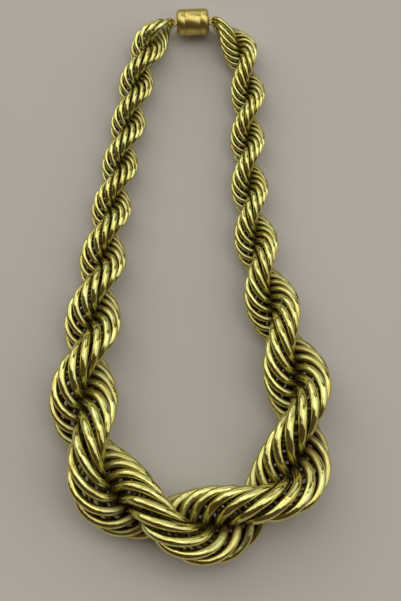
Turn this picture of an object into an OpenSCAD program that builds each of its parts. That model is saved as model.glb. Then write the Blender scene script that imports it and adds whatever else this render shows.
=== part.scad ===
// Twisted rope-chain necklace of graduated round links, lying flat as a closed loop.
// Millimetres. The origin is under the middle of the loop, on the surface that the rope lies on.
// X runs across the loop, Y from the wide front up to the clasp, and Z up.

/* [Links] */
// Middle radius of the largest links, at the front
front_r = 11.5; // [10.5:0.1:11.8]
// Middle radius of the smallest links, at the back
back_r = 5.7; // [5.4:0.1:6]
// Radius of the wire as a share of its link's middle radius
wire_share = 0.075; // [0.05:0.005:0.075]
// Step from one link to the next as a share of the link's middle radius
pitch_share = 0.364; // [0.363:0.001:0.365]

/* [Twist] */
// Half turns that the rope makes over the whole loop, from upright end link to upright end link
half_turns = 18; // [16:1:21]
// Half turns by which the front is ahead of an even twist, so that a lobe lies at the front
front_lead = 0.4; // [0:0.1:0.5]

/* [Size grading] */
// Length on each side of the front middle that keeps the largest size
front_flat = 25; // [15:5:35]
// Length over which the links then shrink to the smallest size
fade_run = 140; // [120:5:150]

/* [Clasp] */
// Length of rope left out at the back, between the middles of the two end links
clasp_gap = 27; // [26:0.5:28]
// Radius of the clasp's barrel
barrel_r = 5; // [4:0.1:5.5]
// Middle radius of the eye at each end of the barrel
eye_r = 1.35; // [1.3:0.05:1.4]
// Radius of the eye's wire
eye_wire_r = 0.4; // [0.35:0.05:0.45]

/* [Hidden] */
gold = [0.83, 0.72, 0.32];
pale_gold = [0.86, 0.77, 0.42];

// The rope's route in plan: a smooth closed curve held by these points, from the clasp
// down the left side, round the front and up the right side
route = [
    [-3, 110], [-15, 105], [-22, 92], [-25, 75], [-29, 52], [-33, 27], [-36, 3],
    [-39, -21], [-41, -47], [-31, -71], [-7, -83], [18, -78], [34, -60], [35, -36],
    [28, -13], [21, 10], [18, 34], [17, 59], [18, 78], [16, 94], [9, 106]
];
// Middle of the whole outline in plan, taken off every place so that the origin lies under it
outline_middle = [-3.75, 9.29];
// Height of the rope's axis over the floor, beyond its largest radius
floor_lift = 0.17;
// Straight pieces that each span of the route is measured in
pieces = 24;
spans = len(route);

// Weights of four neighbouring route points at the part f of a span, for the place,
// the direction and the bend of a cubic spline
function place_weights(f) = [(1 - f)^3, 3 * f^3 - 6 * f^2 + 4, -3 * f^3 + 3 * f^2 + 3 * f + 1, f^3] / 6;
function run_weights(f) = [-(1 - f)^2, 3 * f^2 - 4 * f, -3 * f^2 + 2 * f + 1, f^2] / 2;
function bend_weights(f) = [1 - f, 3 * f - 2, 1 - 3 * f, f];
function weighed(w, i) = w * [for (k = [0:3]) route[(i + k - 1 + spans) % spans]];
function loop_place(t) = weighed(place_weights(t - floor(t)), floor(t)) - outline_middle;
function loop_run(t) = weighed(run_weights(t - floor(t)), floor(t));
function loop_bend(t) = weighed(bend_weights(t - floor(t)), floor(t));

// Length along the loop up to each measured place, and back from a length to the place
marks = [for (i = [0:spans * pieces + 1]) loop_place(i / pieces)];
lengths = [
    for (i = 0, s = 0; i <= spans * pieces; s = s + norm(marks[i + 1] - marks[i]), i = i + 1) s
];
loop_length = lengths[spans * pieces];
length_to_t = [for (i = [0:spans * pieces]) [lengths[i], i / pieces]];
function t_at(s) = lookup(s, length_to_t);

// Radius of the link at the length s: largest round the front, then down a cosine to the back
function link_r(s) = let (
    past = (abs(s - loop_length / 2) - front_flat) / fade_run,
    f = min(max(past, 0), 1)
) back_r + (front_r - back_r) * (1 + cos(180 * f)) / 2;

// Sharpness of the bend at s: link radius over bend radius
function sharpness(s) = let (t = t_at(s), d = loop_run(t), b = loop_bend(t))
    link_r(s) * (d.x * b.y - d.y * b.x) / norm(d)^3;

// Lengths along the loop of the links' middles; the step is shorter in a sharp bend
bend_trim = 0.135;
function step(s) = let (m = s + pitch_share * link_r(s) / 2)
    pitch_share * link_r(m) * (1 - bend_trim * sharpness(m)^2);
first_s = clasp_gap / 2;
last_s = loop_length - clasp_gap / 2;
loose = [for (s = first_s; s <= last_s; s = s + step(s)) s];
link_count = len(loose);
stretch = (last_s - first_s) / (loose[link_count - 1] - first_s);
stations = [for (s = loose) first_s + (s - first_s) * stretch];
front_link = floor(link_count / 2);

// Each link is turned a little more round the rope than the one before, so that the links' tops
// run up one side and down the other as twisted strands; the first and the last link stand
// upright, for the clasp's eyes
upright = 90;
function link_turn(i) = let (share = i / (link_count - 1))
    upright + 180 * (half_turns * share + front_lead * sin(180 * share));

// Height of the rope's axis at s, and how fast it rises
function axis_height(s) = link_r(s) * (1 + wire_share) + floor_lift;
function rise(s) = (axis_height(s + 1) - axis_height(s - 1)) / 2;

// Directions at s: along the rope, to its left, and up from it
function along(s) = let (d = loop_run(t_at(s)), v = [d.x, d.y, rise(s) * norm(d)]) v / norm(v);
function leftward(s) = let (d = loop_run(t_at(s))) [-d.y, d.x, 0] / norm(d);
function upward(s) = cross(along(s), leftward(s));
function round_rope(s, a) = cos(a) * leftward(s) + sin(a) * upward(s);

// Middle and axis of link i. In a bend the links give way: each one moves across the rope,
// by twice its turn, in proportion to how sharp the bend is
shift_share = 0.27;
function link_middle(i) = let (s = stations[i], p = loop_place(t_at(s)))
    [p.x, p.y, axis_height(s)]
    - shift_share * sharpness(s) * link_r(s) * round_rope(s, 2 * link_turn(i));
function link_axis(i) = round_rope(stations[i], link_turn(i) + 90);

// The point of link i's wire that lies furthest back or forward along the rope
function wire_tip(i, way) = link_middle(i) + way * link_r(stations[i]) * along(stations[i]);

// A ring of round wire with its axis along n
module ring(middle, n, r, wire_r) {
    translate(middle)
        rotate([0, acos(n.z), atan2(n.y, n.x)])
            rotate_extrude($fn = 48)
                translate([r, 0])
                    circle(r = wire_r, $fn = 20);
}

module link(i) {
    r = link_r(stations[i]);
    ring(link_middle(i), link_axis(i), r, wire_share * r);
}

module rope_left() {
    color(gold)
        for (i = [0:front_link - 1])
            link(i);
}

module rope_right() {
    color(gold)
        for (i = [front_link:link_count - 1])
            link(i);
}

// The clasp's line runs between the near wires of the two end links
left_tip = wire_tip(0, -1);
right_tip = wire_tip(link_count - 1, 1);
clasp_line = (right_tip - left_tip) / norm(right_tip - left_tip);
clasp_middle = (left_tip + right_tip) / 2;
// Each eye holds its link's wire against the far side of its hole, with this much play
eye_play = 0.2;
eye_offset = norm(right_tip - left_tip) / 2 - (eye_r - eye_wire_r - wire_share * back_r - eye_play);
barrel_half = eye_offset - eye_r;
end_round = 1.6;

// An eye at the end of the barrel, square to the wire that it holds
module eye(i, way) {
    wire_run = cross(link_axis(i), along(stations[i]));
    flat_run = wire_run - (wire_run * clasp_line) * clasp_line;
    ring(clasp_middle + way * eye_offset * clasp_line, flat_run / norm(flat_run), eye_r, eye_wire_r);
}

// Half outline of the barrel, with a rounded shoulder at each end
module barrel_outline() {
    translate([0, -barrel_half])
        square([barrel_r - end_round, 2 * barrel_half]);
    translate([0, end_round - barrel_half])
        square([barrel_r, 2 * (barrel_half - end_round)]);
    for (way = [-1, 1])
        intersection() {
            translate([barrel_r - end_round, way * (barrel_half - end_round)])
                circle(r = end_round, $fn = 32);
            translate([0, -barrel_half])
                square([barrel_r, 2 * barrel_half]);
        }
}

module clasp() {
    color(pale_gold) {
        translate(clasp_middle)
            rotate([0, acos(clasp_line.z), atan2(clasp_line.y, clasp_line.x)])
                rotate_extrude($fn = 48)
                    barrel_outline();
        eye(0, -1);
        eye(link_count - 1, 1);
    }
}

rope_left();
rope_right();
clasp();
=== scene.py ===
"""The looks of a twisted rope-chain necklace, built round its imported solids.

The chain is a graduated rope of round gold links, each linked with the next five. Every link holds the
rope's line in its plane and is turned a little further round it than the one before, so that the links' tops
run up one side of the rope and down the other as twisted strands. Sizes are in millimetres until a mesh is
made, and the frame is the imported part's: X across the loop, Y up to the clasp, Z up.
"""

import logging
import math
from dataclasses import dataclass, field
from enum import Enum
from functools import cached_property
from typing import Any, Mapping

import bpy
import numpy as np
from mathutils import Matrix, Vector


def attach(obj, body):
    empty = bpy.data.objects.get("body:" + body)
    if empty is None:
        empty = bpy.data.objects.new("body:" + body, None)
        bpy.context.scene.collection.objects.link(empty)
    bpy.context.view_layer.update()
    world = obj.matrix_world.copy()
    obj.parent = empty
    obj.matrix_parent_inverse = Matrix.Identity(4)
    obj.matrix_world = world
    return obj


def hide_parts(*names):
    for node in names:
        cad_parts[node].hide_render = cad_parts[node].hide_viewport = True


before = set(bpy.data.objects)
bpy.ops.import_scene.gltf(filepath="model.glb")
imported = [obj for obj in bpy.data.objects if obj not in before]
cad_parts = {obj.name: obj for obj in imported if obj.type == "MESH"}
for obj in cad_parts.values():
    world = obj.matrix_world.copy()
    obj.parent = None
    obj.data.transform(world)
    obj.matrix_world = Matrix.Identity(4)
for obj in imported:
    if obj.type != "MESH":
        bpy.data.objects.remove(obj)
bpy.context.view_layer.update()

LOG = logging.getLogger("necklace")
MM = 0.001
FULL_TURN = 2 * math.pi
# Longer side of the photograph, in pixels
PHOTO_LONG_SIDE = 601
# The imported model's only body
BODY = "root"
# Names of a mesh's pattern coordinates, in mm, and of the rope's brown film, which also paints shade inside
# the rope
SURFACE = "surface_mm"
FILM_AND_SHADE = "film_and_shade"
# A noise texture seldom leaves these values
NOISE_LOW, NOISE_HIGH = 0.3, 0.7


class RopeHalf(Enum):
    """The two halves of the rope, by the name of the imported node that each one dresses."""

    LEFT = "rope_left"
    RIGHT = "rope_right"


class Slot(Enum):
    """The record's material slots."""

    ROPE = "rope_gold"
    CLASP = "clasp_gold"


# Small helpers


def linear_colour(hex_code: str) -> tuple[float, float, float, float]:
    """Turns an sRGB hex code into the linear colour that a shader takes, by the sRGB standard's own curve.

    Args:
        hex_code: six hex digits, such as "e1da8c".

    Returns:
        Red, green, blue and a full alpha.
    """
    channels = [int(hex_code[i:i + 2], 16) / 255 for i in (0, 2, 4)]
    linear = [c / 12.92 if c <= 0.04045 else ((c + 0.055) / 1.055) ** 2.4 for c in channels]
    return (linear[0], linear[1], linear[2], 1.0)


def add_node(tree: bpy.types.NodeTree, kind: str, settings: Mapping[str, Any] | None = None,
             inputs: Mapping[Any, Any] | None = None) -> bpy.types.Node:
    """Adds one shader node, with its settings, values and links.

    Args:
        tree: the material's or the world's node tree.
        kind: the node's type name.
        settings: properties of the node itself.
        inputs: for each input socket, by name or number, a value or the output socket that feeds it.

    Returns:
        The new node.
    """
    node = tree.nodes.new(kind)
    for name, value in (settings or {}).items():
        setattr(node, name, value)
    for key, value in (inputs or {}).items():
        if isinstance(value, bpy.types.NodeSocket):
            tree.links.new(value, node.inputs[key])
        else:
            node.inputs[key].default_value = value
    return node


def new_material(name: str) -> tuple[bpy.types.Material, bpy.types.NodeTree, bpy.types.Node]:
    """Starts a material that holds only its shader and its output.

    Args:
        name: the real material's name.

    Returns:
        The material, its node tree and its Principled shader.
    """
    material = bpy.data.materials.new(name)
    material.use_nodes = True
    tree = material.node_tree
    tree.nodes.clear()
    shader = add_node(tree, "ShaderNodeBsdfPrincipled")
    add_node(tree, "ShaderNodeOutputMaterial", inputs={"Surface": shader.outputs["BSDF"]})
    return material, tree, shader


def add_drawn_lines(tree: bpy.types.NodeTree, run_mm: float, gap_mm: float, detail: float,
                    fineness: float) -> bpy.types.NodeSocket:
    """Adds the fine lines that a tool leaves along a surface: noise stretched along the first coordinate.

    Args:
        tree: the material's node tree.
        run_mm: the length over which a line changes.
        gap_mm: the distance from line to line.
        detail: how many finer layers the noise has.
        fineness: how strong each finer layer is next to the one before.

    Returns:
        The socket that gives the lines.
    """
    surface = add_node(tree, "ShaderNodeUVMap", {"uv_map": SURFACE})
    stretched = add_node(tree, "ShaderNodeMapping", inputs={
        "Vector": surface.outputs["UV"], "Scale": (1 / run_mm, 1 / gap_mm, 1.0)})
    noise = add_node(tree, "ShaderNodeTexNoise", inputs={
        "Vector": stretched.outputs["Vector"], "Scale": 1.0, "Detail": detail, "Roughness": fineness})
    return noise.outputs["Fac"]


def unit(vectors: np.ndarray) -> np.ndarray:
    """Each vector divided by its own length."""
    return vectors / np.linalg.norm(vectors, axis=-1, keepdims=True)


def smooth_fall(values: np.ndarray, full: float, none: float) -> np.ndarray:
    """A share that falls from 1 at one value to 0 at another, as 3x^2 - 2x^3 does.

    Args:
        values: the values to weigh.
        full: the value at which the share is 1.
        none: the larger value at which it is 0.

    Returns:
        One share for each value.
    """
    share = np.clip((none - values) / (none - full), 0, 1)
    return share * share * (3 - 2 * share)


def closed_grid_faces(rows: int, columns: int) -> np.ndarray:
    """Quads of a grid that closes on itself both ways.

    Face (i, j) joins the points (i, j), (i + 1, j), (i + 1, j + 1) and (i, j + 1), each counted round.

    Args:
        rows: points along the first parameter.
        columns: points along the second parameter.

    Returns:
        An array of rows x columns faces of four point numbers.
    """
    i, j = (grid.reshape(-1) for grid in np.meshgrid(np.arange(rows), np.arange(columns), indexing="ij"))
    i_next, j_next = (i + 1) % rows, (j + 1) % columns
    return np.stack([i * columns + j, i_next * columns + j,
                     i_next * columns + j_next, i * columns + j_next], -1)


def make_mesh_piece(name: str, points: np.ndarray, faces: list[list[int]], corner_uv: np.ndarray,
                    material: bpy.types.Material) -> bpy.types.Object:
    """Makes a smooth mesh object whose place is in its mesh.

    Args:
        name: the piece's name.
        points: its points in mm, n x 3.
        faces: point numbers of each face.
        corner_uv: pattern coordinates in mm, one pair for each corner of each face.
        material: its finish.

    Returns:
        The object, at the origin, unturned and unscaled.
    """
    mesh = bpy.data.meshes.new(name)
    mesh.from_pydata((points * MM).tolist(), [], faces)
    layer = mesh.uv_layers.new(name=SURFACE)
    layer.data.foreach_set("uv", np.ascontiguousarray(corner_uv, dtype=np.float32).reshape(-1))
    mesh.shade_smooth()
    mesh.materials.append(material)
    piece = bpy.data.objects.new(name, mesh)
    bpy.context.scene.collection.objects.link(piece)
    return piece


# The rope's route and its links


@dataclass(frozen=True)
class RopeRoute:
    """The line that the rope's axis follows in plan: a closed cubic spline held by round points, in mm."""

    points: tuple[tuple[float, float], ...] = (
        (-3, 110), (-15, 105), (-22, 92), (-25, 75), (-29, 52), (-33, 27), (-36, 3),
        (-39, -21), (-41, -47), (-31, -71), (-7, -83), (18, -78), (34, -60), (35, -36),
        (28, -13), (21, 10), (18, 34), (17, 59), (18, 78), (16, 94), (9, 106))
    outline_middle: tuple[float, float] = (-3.75, 9.29)
    # Straight steps in which each span between two route points is measured
    span_steps: int = 24

    def _weighed(self, t: np.ndarray, weights: np.ndarray) -> np.ndarray:
        """The sum of the four route points round each parameter, each times its weight.

        Args:
            t: the spline's parameters.
            weights: four weights for each of them.

        Returns:
            One row of x and y for each parameter.
        """
        route = np.array(self.points)
        near = (np.floor(t).astype(int)[:, None] + np.arange(-1, 3)) % len(route)
        return (weights[..., None] * route[near]).sum(1)

    def place(self, t: np.ndarray) -> np.ndarray:
        """Points of the cubic spline, from the outline's middle.

        Args:
            t: the spline's parameters.

        Returns:
            One row of x and y for each of them, in mm.
        """
        f = t - np.floor(t)
        weights = np.stack([(1 - f) ** 3, 3 * f ** 3 - 6 * f ** 2 + 4,
                            -3 * f ** 3 + 3 * f ** 2 + 3 * f + 1, f ** 3], -1) / 6
        return self._weighed(t, weights) - np.array(self.outline_middle)

    def run(self, t: np.ndarray) -> np.ndarray:
        """The spline's first derivative.

        Args:
            t: the spline's parameters.

        Returns:
            One row of x and y for each of them.
        """
        f = t - np.floor(t)
        weights = np.stack([-(1 - f) ** 2, 3 * f ** 2 - 4 * f, -3 * f ** 2 + 2 * f + 1, f ** 2], -1) / 2
        return self._weighed(t, weights)

    def bend(self, t: np.ndarray) -> np.ndarray:
        """The spline's second derivative at the parameters t."""
        f = t - np.floor(t)
        return self._weighed(t, np.stack([1 - f, 3 * f - 2, 1 - 3 * f, f], -1))

    @cached_property
    def measured(self) -> tuple[np.ndarray, np.ndarray]:
        """Lengths along the loop, as the sum of short straight steps.

        Returns:
            The lengths, and the spline's parameter at each of them.
        """
        t = np.arange(len(self.points) * self.span_steps + 1) / self.span_steps
        steps = np.linalg.norm(np.diff(self.place(t), axis=0), axis=1)
        return np.concatenate([[0.0], np.cumsum(steps)]), t

    @property
    def length(self) -> float:
        """Length of the whole loop."""
        return float(self.measured[0][-1])

    def t_at(self, s: np.ndarray) -> np.ndarray:
        """The spline's parameter at the lengths s."""
        return np.interp(s, *self.measured)


@dataclass(frozen=True)
class RopeLinks:
    """Sizes of the links and the rule that lays them along the route, the same as in the part's source."""

    route: RopeRoute = field(default_factory=RopeRoute)
    # Middle radius of the links round the front, and at the back
    front_r: float = 11.5
    back_r: float = 5.7
    # Length on each side of the front that keeps the largest size, and the length over which it then falls
    front_flat: float = 25
    fade_run: float = 140
    # Step from link to link, in shares of the link's radius, and how much a sharp bend takes off it
    pitch_share: float = 0.364
    bend_trim: float = 0.135
    # Length of rope left out at the back, between the middles of the two end links
    clasp_gap: float = 27
    # Half turns of the rope over the whole loop, and those by which the front is ahead of an even twist
    half_turns: int = 18
    front_lead: float = 0.4
    # How far a link gives way across the rope in a bend, in shares of its radius times the bend's sharpness
    shift_share: float = 0.27
    # Height of the rope over the floor, beyond its largest radius
    floor_lift: float = 0.17
    # Radius of the wire in shares of the link's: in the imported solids, and on the real chain
    solid_wire_share: float = 0.075
    wire_share: float = 0.145

    def radius(self, s: np.ndarray) -> np.ndarray:
        """Middle radius of the links: largest round the front, then down a cosine to the back.

        Args:
            s: lengths along the loop.

        Returns:
            One radius for each of them.
        """
        past = (np.abs(s - self.route.length / 2) - self.front_flat) / self.fade_run
        fade = (1 + np.cos(np.pi * np.clip(past, 0, 1))) / 2
        return self.back_r + (self.front_r - self.back_r) * fade

    def sharpness(self, s: np.ndarray) -> np.ndarray:
        """Link radius over bend radius: the cross product of the two derivatives over the run's cube.

        Args:
            s: lengths along the loop.

        Returns:
            One value for each of them, positive where the loop bends to the left.
        """
        t = self.route.t_at(s)
        run, bend = self.route.run(t), self.route.bend(t)
        crossed = run[:, 0] * bend[:, 1] - run[:, 1] * bend[:, 0]
        return self.radius(s) * crossed / np.linalg.norm(run, axis=1) ** 3

    @cached_property
    def stations(self) -> np.ndarray:
        """Where the links sit: each step is a share of the link's radius, and shorter in a sharp bend.

        The row is then stretched a little, so that it ends at the clasp's gap.

        Returns:
            The length along the loop of each link.
        """
        first, last = self.clasp_gap / 2, self.route.length - self.clasp_gap / 2
        loose, s = [], first
        while s <= last:
            loose.append(s)
            # The step is that of the place half a step on
            half_way = np.array([s + self.pitch_share * self.radius(np.array([s]))[0] / 2])
            trim = 1 - self.bend_trim * self.sharpness(half_way)[0] ** 2
            s += float(self.pitch_share * self.radius(half_way)[0] * trim)
        laid = np.array(loose)
        return first + (laid - first) * (last - first) / (laid[-1] - first)

    @cached_property
    def turns(self) -> np.ndarray:
        """Turn of each link round the rope: even from one upright end link to the other, plus a lead.

        The lead is half a turn times front_lead at the front, and fades to both ends as a sine.

        Returns:
            One angle a link, in radians.
        """
        share = np.linspace(0, 1, len(self.stations))
        return math.pi * (0.5 + self.half_turns * share + self.front_lead * np.sin(math.pi * share))

    def height(self, s: np.ndarray) -> np.ndarray:
        """Height of the rope's axis over the floor."""
        return self.radius(s) * (1 + self.solid_wire_share) + self.floor_lift

    @cached_property
    def placed(self) -> dict[str, np.ndarray]:
        """Where every link lies: round the rope's line, in a plane that holds the rope's direction.

        In a bend a link moves across the rope, in the direction of twice its turn.

        Returns:
            Arrays with one row a link: its middle radius, the rope's axis point, the rope's direction there,
            the link's middle and its axis.
        """
        s = self.stations
        r = self.radius(s)
        give = self.sharpness(s) * r
        run = self.route.run(self.route.t_at(s))
        speed = np.linalg.norm(run, axis=1)
        # How fast the axis rises, from its height a millimetre on and a millimetre back
        rise = (self.height(s + 1) - self.height(s - 1)) / 2
        along = unit(np.column_stack([run, rise * speed]))
        leftward = np.column_stack([-run[:, 1], run[:, 0], np.zeros(len(s))]) / speed[:, None]
        upward = np.cross(along, leftward)

        def round_rope(angle: np.ndarray) -> np.ndarray:
            """Unit vectors square to the rope, at an angle from its left."""
            return np.cos(angle)[:, None] * leftward + np.sin(angle)[:, None] * upward

        spine = np.column_stack([self.route.place(self.route.t_at(s)), self.height(s)])
        middle = spine - self.shift_share * give[:, None] * round_rope(2 * self.turns)
        axis = round_rope(self.turns + math.pi / 2)
        return {"radius": r, "spine": spine, "along": along, "middle": middle, "axis": axis}

    @property
    def front_link(self) -> int:
        """Number of the first link of the right half."""
        return len(self.stations) // 2

    def wire_tip(self, link: int, way: int) -> np.ndarray:
        """The point of a link's wire that lies furthest back (-1) or forward (+1) along the rope."""
        at = self.placed
        return at["middle"][link] + way * at["radius"][link] * at["along"][link]


# Finishes


@dataclass(frozen=True)
class PolishedGoldWire:
    """Yellow 14-carat gold wire, drawn, closed into links and tumble-polished.

    It mirrors softly, with a greenish-yellow body colour that deepens to amber where light goes from wire
    to wire. Inside the rope, where no cloth reaches, it keeps a brown film of tarnish that dulls it. The film
    is also darkened as painted shade where the rope's inside lies in shadow.
    """

    name: str = "polished_yellow_gold_wire"
    polished: str = "dadb8e"
    worn: str = "c8b04c"
    # Brown of the tarnish inside the rope, also dark enough to serve as painted shade there
    film_and_shade: str = "54300e"
    roughness: float = 0.13
    film_and_shade_roughness: float = 0.5
    patch_mm: float = 5.0
    # Values of the patches' noise where the deeper gold begins and where it is at its most, and that most
    worn_from: float = 0.4
    worn_full: float = 0.75
    worn_most: float = 0.7
    # Tumbling leaves shallow waves a few millimetres long, which break up the highlights
    wave_mm: float = 2.8
    wave_height_mm: float = 0.2
    line_run_mm: float = 14.0
    # Drawing lines are about 0.02 mm wide, too fine to show, so they are drawn about ten times as coarse
    line_gap_mm: float = 0.22
    line_depth_mm: float = 0.012
    line_strength: float = 0.5
    # How much the lines take off the roughness, and how much they add to it
    line_smoother: float = 0.05
    line_rougher: float = 0.07

    def material(self) -> bpy.types.Material:
        """Builds the wire's material.

        Returns:
            A material that reads the mesh's own pattern coordinates and its attribute of film and painted
            shade.
        """
        material, tree, shader = new_material(self.name)
        lines = add_drawn_lines(tree, self.line_run_mm, self.line_gap_mm, detail=3.0, fineness=0.6)
        place = add_node(tree, "ShaderNodeTexCoord")
        patches = add_node(tree, "ShaderNodeTexNoise", inputs={
            "Vector": place.outputs["Object"], "Scale": 1 / (self.patch_mm * MM), "Detail": 3.0})
        film_and_shade = add_node(tree, "ShaderNodeAttribute", {"attribute_name": FILM_AND_SHADE})
        worn_share = add_node(tree, "ShaderNodeMapRange", inputs={
            "Value": patches.outputs["Fac"], "From Min": self.worn_from, "From Max": self.worn_full,
            "To Min": 0.0, "To Max": self.worn_most})
        gold = add_node(tree, "ShaderNodeMix", {"data_type": "RGBA"}, {
            "Factor": worn_share.outputs["Result"],
            "A": linear_colour(self.polished), "B": linear_colour(self.worn)})
        # The brown film is partly tarnish and partly painted shade inside the rope
        colour = add_node(tree, "ShaderNodeMix", {"data_type": "RGBA"}, {
            "Factor": film_and_shade.outputs["Fac"], "A": gold.outputs["Result"], "B": linear_colour(self.film_and_shade)})
        line_roughness = add_node(tree, "ShaderNodeMapRange", inputs={
            "Value": lines, "From Min": NOISE_LOW, "From Max": NOISE_HIGH,
            "To Min": self.roughness - self.line_smoother, "To Max": self.roughness + self.line_rougher})
        roughness = add_node(tree, "ShaderNodeMix", {"data_type": "FLOAT"}, {
            "Factor": film_and_shade.outputs["Fac"], "A": line_roughness.outputs["Result"], "B": self.film_and_shade_roughness})
        waves = add_node(tree, "ShaderNodeTexNoise", inputs={
            "Vector": place.outputs["Object"], "Scale": 1 / (self.wave_mm * MM), "Detail": 1.0})
        waved = add_node(tree, "ShaderNodeBump", inputs={
            "Strength": 1.0, "Distance": self.wave_height_mm * MM, "Height": waves.outputs["Fac"]})
        bump = add_node(tree, "ShaderNodeBump", inputs={
            "Strength": self.line_strength, "Distance": self.line_depth_mm * MM, "Height": lines,
            "Normal": waved.outputs["Normal"]})
        shader.inputs["Metallic"].default_value = 1.0
        tree.links.new(colour.outputs["Result"], shader.inputs["Base Color"])
        tree.links.new(roughness.outputs["Result"], shader.inputs["Roughness"])
        tree.links.new(bump.outputs["Normal"], shader.inputs["Normal"])
        return material


@dataclass(frozen=True)
class BrushedGoldBarrel:
    """Yellow gold of the clasp, turned on a lathe and brushed round: a satin sheen in rings."""

    name: str = "brushed_yellow_gold"
    bright: str = "e2d487"
    dull: str = "b9a650"
    roughness: float = 0.28
    # Brush lines of 0.03 mm are drawn at 0.15 mm so that they show
    line_gap_mm: float = 0.15
    line_run_mm: float = 25.0
    line_depth_mm: float = 0.012
    line_strength: float = 0.6
    # How much the lines take off the roughness, and how much they add to it
    line_smoother: float = 0.06
    line_rougher: float = 0.1

    def material(self) -> bpy.types.Material:
        """Builds the clasp's material.

        Returns:
            A material that reads the mesh's own pattern coordinates.
        """
        material, tree, shader = new_material(self.name)
        lines = add_drawn_lines(tree, self.line_run_mm, self.line_gap_mm, detail=4.0, fineness=0.5)
        colour = add_node(tree, "ShaderNodeMix", {"data_type": "RGBA"}, {
            "Factor": lines, "A": linear_colour(self.dull), "B": linear_colour(self.bright)})
        roughness = add_node(tree, "ShaderNodeMapRange", inputs={
            "Value": lines, "From Min": NOISE_LOW, "From Max": NOISE_HIGH,
            "To Min": self.roughness - self.line_smoother, "To Max": self.roughness + self.line_rougher})
        bump = add_node(tree, "ShaderNodeBump", inputs={
            "Strength": self.line_strength, "Distance": self.line_depth_mm * MM, "Height": lines})
        shader.inputs["Metallic"].default_value = 1.0
        tree.links.new(colour.outputs["Result"], shader.inputs["Base Color"])
        tree.links.new(roughness.outputs["Result"], shader.inputs["Roughness"])
        tree.links.new(bump.outputs["Normal"], shader.inputs["Normal"])
        return material


@dataclass(frozen=True)
class PaleStudioFloor:
    """Matt pale board under the necklace: even, with faint clouds."""

    name: str = "matt_pale_board"
    pale: str = "cac5bc"
    shade: str = "c2bdb4"
    cloud_mm: float = 120.0
    roughness: float = 0.9

    def material(self) -> bpy.types.Material:
        """Builds the floor's material.

        Returns:
            A material whose clouds lie on Object coordinates.
        """
        material, tree, shader = new_material(self.name)
        place = add_node(tree, "ShaderNodeTexCoord")
        clouds = add_node(tree, "ShaderNodeTexNoise", inputs={
            "Vector": place.outputs["Object"], "Scale": 1 / (self.cloud_mm * MM), "Detail": 4.0})
        colour = add_node(tree, "ShaderNodeMix", {"data_type": "RGBA"}, {
            "Factor": clouds.outputs["Fac"], "A": linear_colour(self.pale), "B": linear_colour(self.shade)})
        tree.links.new(colour.outputs["Result"], shader.inputs["Base Color"])
        shader.inputs["Roughness"].default_value = self.roughness
        return material


# Pieces


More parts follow.
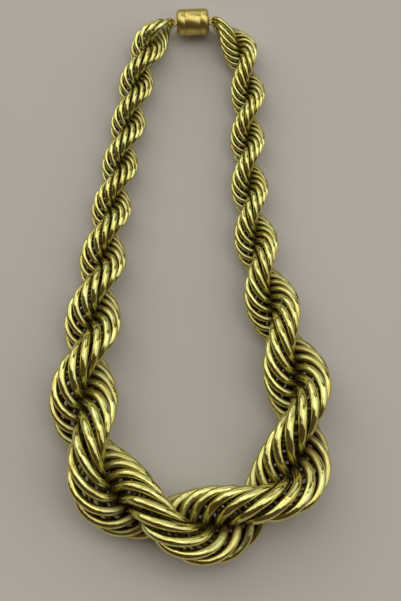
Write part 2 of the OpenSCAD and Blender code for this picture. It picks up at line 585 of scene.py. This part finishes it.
@dataclass(frozen=True)
class LinkCage:
    """The coarse cage of one link, which a subdivision surface then rounds into a smooth ring of wire.

    A link is repeated a hundred and fifty times, so its cage has a few dozen faces.
    """

    round_link: int = 12
    round_wire: int = 5
    levels: int = 2

    @staticmethod
    def pull_in(sides: int) -> float:
        """How near a closed cubic spline runs to its regular cage, as a share of the cage's radius.

        By a cage point the spline is two thirds of that point and one sixth of each neighbour. Half way
        between two points it is 23/48 of each, and 1/48 of the next one on either side. The share is the
        mean of the two.

        Args:
            sides: how many sides the cage has.

        Returns:
            The share, a little under 1.
        """
        at_points = (2 + math.cos(FULL_TURN / sides)) / 3
        between = (46 * math.cos(math.pi / sides) + 2 * math.cos(3 * math.pi / sides)) / 48
        return (at_points + between) / 2

    @property
    def faces_per_link(self) -> int:
        """Faces of one link's cage."""
        return self.round_link * self.round_wire

    def points(self, middle: np.ndarray, axis: np.ndarray, along: np.ndarray, radius: np.ndarray,
               wire_r: np.ndarray) -> tuple[np.ndarray, np.ndarray, np.ndarray]:
        """Works out the cages of many links at once.

        A link's point at the angles u round the link and v round the wire is its middle, plus the spoke
        direction of u times the link's radius, plus the wire's radius times the spoke's direction by cos v
        and the link's axis by sin v. Both radii are divided by how far the spline runs inside its cage.

        Args:
            middle: middles of the links, in mm.
            axis: unit vectors square to each link.
            along: unit vectors in each link's plane, at which u is 0.
            radius: radius of each link's wire middle, in mm.
            wire_r: radius of each link's wire, in mm.

        Returns:
            Points (links, u, v, 3), wire middles (links, u, 3) and outward directions (links, u, v, 3).
        """
        u = np.arange(self.round_link) * FULL_TURN / self.round_link
        v = np.arange(self.round_wire) * FULL_TURN / self.round_wire
        across = np.cross(axis, along)
        spoke = np.cos(u)[None, :, None] * along[:, None] + np.sin(u)[None, :, None] * across[:, None]
        by_spoke = np.cos(v)[None, None, :, None] * spoke[:, :, None]
        by_axis = np.sin(v)[None, None, :, None] * axis[:, None, None]
        ring_share, wire_share = self.pull_in(self.round_link), self.pull_in(self.round_wire)
        reach = radius[:, None, None] * spoke
        cage_wire_r = (wire_r / wire_share)[:, None, None, None]
        cage_middle = (middle[:, None] + reach / ring_share)[:, :, None]
        cage = cage_middle + cage_wire_r * (by_spoke / ring_share + by_axis)
        return cage, middle[:, None] + reach, by_spoke + by_axis

    def corner_uv(self, radius: np.ndarray, wire_r: np.ndarray, shift: np.ndarray) -> np.ndarray:
        """Pattern coordinates in mm: length along the wire, and way round it.

        Args:
            radius: radius of each link's wire middle, in mm.
            wire_r: radius of each link's wire, in mm.
            shift: a length added to each link's first coordinate, so that no two links match.

        Returns:
            One pair for each of the four corners of each face.
        """
        i, j = (g.reshape(-1) for g in np.meshgrid(np.arange(self.round_link), np.arange(self.round_wire),
                                                   indexing="ij"))
        along = np.stack([i, i + 1, i + 1, i], -1) * FULL_TURN / self.round_link
        around = np.stack([j, j, j + 1, j + 1], -1) * FULL_TURN / self.round_wire
        return np.stack([radius[:, None, None] * along + shift[:, None, None],
                         wire_r[:, None, None] * around], -1)

    def all_faces(self, links: int) -> np.ndarray:
        """Faces of all the cages, in one list after another.

        Args:
            links: how many cages there are.

        Returns:
            Rows of four point numbers.
        """
        one = closed_grid_faces(self.round_link, self.round_wire)
        return (one[None] + (np.arange(links) * self.faces_per_link)[:, None, None]).reshape(-1, 4)

    def round_off(self, piece: bpy.types.Object) -> None:
        """Adds the subdivision surface that rounds the cages."""
        modifier = piece.modifiers.new("rounded", "SUBSURF")
        modifier.levels = modifier.render_levels = self.levels


@dataclass
class RopeChain:
    """The two halves of the rope, each a row of interlocking links of gold wire."""

    links: RopeLinks
    finish: PolishedGoldWire
    cage: LinkCage = field(default_factory=LinkCage)
    # The film, with its painted shade, is full where the surface faces the rope's axis, and gone where it
    # faces away from it
    facing_full: float = -0.5
    facing_none: float = 0.4
    # It is also full this near to the rope's axis and gone this far from it, in shares of the link's radius
    depth_full: float = 0.15
    depth_none: float = 0.65
    # In mm, so that nothing is divided by zero where a wire crosses the axis
    least_depth: float = 1e-6
    # The last few links stand open at the rope's ends, so the film and its painted shade fade in over this
    # many of them
    open_links: float = 5
    # Each link's pattern starts this much further on than the one before, so that no two are alike
    pattern_shift_mm: float = 13.7

    def film_and_shade(self, radius: np.ndarray, spine: np.ndarray, along: np.ndarray, wire_middle: np.ndarray,
             outward: np.ndarray) -> np.ndarray:
        """How much brown film lies on the wire, darkened to paint the shade inside the rope: much inside, and
        none outside, where the film wears off.

        One share falls smoothly with the dot product of the surface's direction and the direction away from
        the rope's axis, the other with the distance from that axis. What neither leaves bare is film and
        painted shade.

        Args:
            radius: radius of each link's wire middle, in mm.
            spine: the rope's axis point at each link, in mm.
            along: the rope's direction at each link.
            wire_middle: middles of the wire, (links, u, 3).
            outward: the surface's directions, (links, u, v, 3).

        Returns:
            Values from 0 to 1, (links, u, v).
        """
        away = wire_middle - spine[:, None]
        away = away - (away * along[:, None]).sum(-1, keepdims=True) * along[:, None]
        depth = np.linalg.norm(away, axis=-1, keepdims=True)
        facing = (outward * (away / np.maximum(depth, self.least_depth))[:, :, None]).sum(-1)
        turned_in = smooth_fall(facing, self.facing_full, self.facing_none)
        deep = smooth_fall(depth / radius[:, None, None], self.depth_full, self.depth_none)
        return 1 - (1 - turned_in) * (1 - deep)

    def bare_ends(self, first: int, last: int) -> np.ndarray:
        """How far the film and its painted shade have come in from the rope's open ends: nothing at an end
        link, all after a few.

        Args:
            first: number of the first link.
            last: number after the last link.

        Returns:
            One share a link.
        """
        number = np.arange(len(self.links.stations))
        from_end = np.minimum(number, number[::-1])[first:last]
        return np.clip(from_end / self.open_links, 0, 1)

    def build_half(self, half: RopeHalf, material: bpy.types.Material) -> bpy.types.Object:
        """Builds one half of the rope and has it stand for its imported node.

        Args:
            half: which half.
            material: the wire's finish.

        Returns:
            The new piece.
        """
        at = self.links.placed
        first, last = ((0, self.links.front_link) if half is RopeHalf.LEFT
                       else (self.links.front_link, len(self.links.stations)))
        own = slice(first, last)
        radius = at["radius"][own]
        wire_r = self.links.wire_share * radius
        middle = at["middle"][own].copy()
        # Thicker wire than the solids', so each link is lifted by the difference and still rests on the floor
        middle[:, 2] += (self.links.wire_share - self.links.solid_wire_share) * radius
        points, wire_middle, outward = self.cage.points(middle, at["axis"][own], at["along"][own],
                                                        radius, wire_r)
        corner_uv = self.cage.corner_uv(radius, wire_r, np.arange(first, last) * self.pattern_shift_mm)
        piece = make_mesh_piece(half.value + "_links", points.reshape(-1, 3),
                                self.cage.all_faces(last - first).tolist(), corner_uv, material)
        # Brown tarnish with painted shade, heaviest where the wire faces or lies near the rope's axis
        film_and_shade = self.film_and_shade(radius, at["spine"][own], at["along"][own], wire_middle, outward)
        film_and_shade *= self.bare_ends(first, last)[:, None, None]
        layer = piece.data.attributes.new(FILM_AND_SHADE, "FLOAT", "POINT")
        layer.data.foreach_set("value", film_and_shade.astype(np.float32).reshape(-1))
        self.cage.round_off(piece)
        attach(piece, BODY)
        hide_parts(half.value)
        return piece

    def build(self) -> list[bpy.types.Object]:
        """Builds both halves.

        Returns:
            The left and the right piece.
        """
        material = self.finish.material()
        return [self.build_half(half, material) for half in RopeHalf]


@dataclass
class BarrelClasp:
    """A plain barrel with an eye at each end, between the two end links of the rope."""

    links: RopeLinks
    finish: BrushedGoldBarrel
    barrel_r: float = 5.0
    eye_r: float = 1.35
    eye_wire_r: float = 0.4
    eye_play: float = 0.2
    end_round: float = 1.6
    # Radius at which the flat end's centre fan begins, as a share of the flat end's own
    fan_share: float = 0.4
    # Distance from the barrel's end to the seam between its end collar and its sleeve
    collar: float = 3.2
    seam_width: float = 0.35
    seam_depth: float = 0.18
    # Points along each rounded shoulder and across each seam
    curve_points: int = 9
    segments: int = 64

    @cached_property
    def tips(self) -> tuple[np.ndarray, np.ndarray]:
        """The near points of the two end links' wires."""
        return self.links.wire_tip(0, -1), self.links.wire_tip(len(self.links.stations) - 1, 1)

    @property
    def line(self) -> np.ndarray:
        """Direction of the clasp, from the left end link to the right one."""
        left, right = self.tips
        return unit(right - left)

    @property
    def middle(self) -> np.ndarray:
        """Middle of the barrel."""
        return (self.tips[0] + self.tips[1]) / 2

    @property
    def eye_offset(self) -> float:
        """Distance from the barrel's middle to each eye's, so that the eye holds its link with some play.

        Returns:
            The distance in mm.
        """
        wire_r = self.links.solid_wire_share * self.links.back_r
        half_span = float(np.linalg.norm(self.tips[1] - self.tips[0])) / 2
        return half_span - (self.eye_r - self.eye_wire_r - wire_r - self.eye_play)

    def profile(self) -> np.ndarray:
        """Outline of the barrel from end to end: distance along it, and radius.

        Each shoulder is a quarter circle. Two shallow seams of a cosine's shape run round the barrel where
        its end collars meet its sleeve.

        Returns:
            Rows of distance and radius, without the two poles.
        """
        half = self.eye_offset - self.eye_r
        turn = np.linspace(0, math.pi / 2, self.curve_points)
        shoulder = np.column_stack([half - self.end_round * (1 - np.cos(turn)),
                                    self.barrel_r - self.end_round * (1 - np.sin(turn))])
        swing = np.linspace(-math.pi, math.pi, self.curve_points)
        seam = np.column_stack([half - self.collar - self.seam_width * swing / FULL_TURN,
                                self.barrel_r - self.seam_depth * (1 + np.cos(swing)) / 2])
        face = np.array([[half, self.fan_share * (self.barrel_r - self.end_round)]])
        right = np.concatenate([face, shoulder, seam])
        return np.concatenate([right * np.array([-1, 1]), right[::-1]])

    def build_barrel(self, material: bpy.types.Material) -> bpy.types.Object:
        """Builds the barrel: its profile turned about the clasp's line, closed by a fan at each pole.

        A point is the barrel's middle, plus the profile's distance along the line, plus the profile's radius
        times the spoke of its angle. The pattern runs round the barrel and then along its profile.

        Args:
            material: the clasp's finish.

        Returns:
            The new piece.
        """
        profile = self.profile()
        rows, columns = len(profile), self.segments
        line = self.line
        side = unit(np.cross(line, np.array([0.0, 0.0, 1.0])))
        up = np.cross(line, side)
        turn = np.arange(columns) * FULL_TURN / columns
        spoke = np.cos(turn)[:, None] * side + np.sin(turn)[:, None] * up
        body = (self.middle + profile[:, :1, None] * line + profile[:, 1:, None] * spoke[None]).reshape(-1, 3)
        poles = self.middle + profile[[0, -1], :1] * line
        # Walls between one ring of points and the next, then the fans from each end's pole to its first ring
        i, j = (g.reshape(-1) for g in np.meshgrid(np.arange(rows - 1), np.arange(columns), indexing="ij"))
        j_next = (j + 1) % columns
        walls = np.stack([i * columns + j, i * columns + j_next,
                          (i + 1) * columns + j_next, (i + 1) * columns + j], -1)
        ring = np.arange(columns)
        ring_next = (ring + 1) % columns
        near = np.stack([np.full(columns, rows * columns), ring_next, ring], -1)
        base = (rows - 1) * columns
        far = np.stack([np.full(columns, rows * columns + 1), base + ring, base + ring_next], -1)
        # Pattern coordinates: the way round the barrel, and the length along its profile
        run = np.concatenate([[0], np.cumsum(np.linalg.norm(np.diff(profile, axis=0), axis=1))])
        arc = FULL_TURN * self.barrel_r / columns
        wall_uv = np.stack([np.stack([j, j + 1, j + 1, j], -1) * arc,
                            np.stack([run[i], run[i], run[i + 1], run[i + 1]], -1)], -1).reshape(-1, 2)
        fan = np.stack([ring + 0.5, ring + 1, ring], -1) * arc
        near_uv = np.stack([fan, np.tile([-profile[0, 1], 0, 0], (columns, 1))], -1).reshape(-1, 2)
        far_uv = np.stack([fan, np.tile([run[-1] + profile[-1, 1], run[-1], run[-1]], (columns, 1))], -1)
        faces = walls.tolist() + near.tolist() + far.tolist()
        corner_uv = np.concatenate([wall_uv, near_uv, far_uv.reshape(-1, 2)])
        return make_mesh_piece("clasp_barrel", np.concatenate([body, poles]), faces, corner_uv, material)

    def build_eyes(self, material: bpy.types.Material) -> bpy.types.Object:
        """Builds both eyes, each square to the wire that it holds.

        Args:
            material: the clasp's finish.

        Returns:
            The new piece.
        """
        at, line = self.links.placed, self.line
        ends = [0, len(self.links.stations) - 1]
        wire_run = np.cross(at["axis"][ends], at["along"][ends])
        axis = unit(wire_run - (wire_run @ line)[:, None] * line)
        middle = self.middle + np.array([[-1], [1]]) * self.eye_offset * line
        radius, wire_r = np.full(2, self.eye_r), np.full(2, self.eye_wire_r)
        cage = LinkCage()
        points, _, _ = cage.points(middle, axis, np.tile(line, (2, 1)), radius, wire_r)
        piece = make_mesh_piece("clasp_eyes", points.reshape(-1, 3), cage.all_faces(2).tolist(),
                                cage.corner_uv(radius, wire_r, np.zeros(2)), material)
        cage.round_off(piece)
        return piece

    def build(self) -> list[bpy.types.Object]:
        """Builds the clasp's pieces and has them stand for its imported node.

        Returns:
            The barrel and the eyes.
        """
        material = self.finish.material()
        pieces = [self.build_barrel(material), self.build_eyes(material)]
        for piece in pieces:
            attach(piece, BODY)
            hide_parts("clasp")
        return pieces


# Studio


@dataclass(frozen=True)
class SoftBox:
    """A rectangular soft light: its place and size in metres, and its power in watts."""

    name: str
    place: tuple[float, float, float]
    size: tuple[float, float]
    power: float

    def build(self) -> None:
        """Adds the light, aimed at the loop's middle."""
        light = bpy.data.lights.new(self.name, "AREA")
        light.shape = "RECTANGLE"
        light.size, light.size_y = self.size
        light.energy = self.power
        lamp = bpy.data.objects.new(self.name, light)
        lamp.location = self.place
        lamp.rotation_euler = (-Vector(self.place)).to_track_quat("-Z", "Y").to_euler()
        bpy.context.scene.collection.objects.link(lamp)


@dataclass(frozen=True)
class Studio:
    """Plain pale floor, soft lights and the camera that stands where the photograph's did."""

    route: RopeRoute
    floor_half: float = 12.0
    # The soft lights stand metres off, so that the floor is lit evenly as far as a low view reaches
    lights: tuple[SoftBox, ...] = (
        SoftBox("soft_left", (-4.2, 3.0, 4.8), (6.3, 8.7), 189),
        SoftBox("soft_right", (4.8, 0.0, 4.2), (6.3, 8.7), 171),
        SoftBox("soft_top", (0.6, 0.9, 6.3), (4.5, 4.5), 86),
        SoftBox("soft_back", (0.0, 6.9, 4.2), (12.0, 5.4), 153),
    )
    surround: str = "dcb890"
    surround_strength: float = 0.12
    elevation: float = 75.0
    distance: float = 0.45
    # The camera's focal length in pixels of the photograph
    focal_pixels: float = 1250.0
    sensor_mm: float = 36.0

    def build_floor(self) -> None:
        """Builds the floor as one square at height zero, about the origin."""
        half = self.floor_half / MM
        points = np.array([[-half, -half, 0], [half, -half, 0], [half, half, 0], [-half, half, 0]])
        floor = make_mesh_piece("floor", points, [[0, 1, 2, 3]], points[:, :2], PaleStudioFloor().material())

    def build_surround(self) -> None:
        """Sets a dim, even, warm tone all round, which the gold mirrors where no light stands."""
        world = bpy.data.worlds.new("studio_surround")
        world.use_nodes = True
        background = world.node_tree.nodes["Background"]
        background.inputs["Color"].default_value = linear_colour(self.surround)
        background.inputs["Strength"].default_value = self.surround_strength
        bpy.context.scene.world = world

    def build_camera(self) -> None:
        """Adds the camera, which looks down at the route's own zero point from the front."""
        data = bpy.data.cameras.new("photo_camera")
        data.sensor_fit = "AUTO"
        data.sensor_width = self.sensor_mm
        data.lens = self.sensor_mm * self.focal_pixels / PHOTO_LONG_SIDE
        camera = bpy.data.objects.new("photo_camera", data)
        angle = math.radians(self.elevation)
        aim_x, aim_y = (-place * MM for place in self.route.outline_middle)
        camera.location = (aim_x, aim_y - self.distance * math.cos(angle), self.distance * math.sin(angle))
        camera.rotation_euler = (math.pi / 2 - angle, 0, 0)
        bpy.context.scene.collection.objects.link(camera)
        bpy.context.scene.camera = camera

    def build(self) -> None:
        """Builds the whole studio."""
        self.build_floor()
        for light in self.lights:
            light.build()
        self.build_surround()
        self.build_camera()
        bpy.context.scene.view_settings.view_transform = "Standard"


def main() -> None:
    """Builds the rope, the clasp and the studio, and reports each piece."""
    logging.basicConfig(level=logging.INFO, format="%(name)s: %(message)s")
    links = RopeLinks()
    LOG.info("loop of %.1f mm, %d links", links.route.length, len(links.stations))
    pieces = RopeChain(links, PolishedGoldWire()).build() + BarrelClasp(links, BrushedGoldBarrel()).build()
    for piece in pieces:
        LOG.info("%s: %d faces in %s", piece.name, len(piece.data.polygons), piece.active_material.name)
    studio = Studio(links.route)
    studio.build()
    LOG.info("floor, %d soft lights, camera %.0f degrees up", len(studio.lights), studio.elevation)


if __name__ == "__main__":
    main()
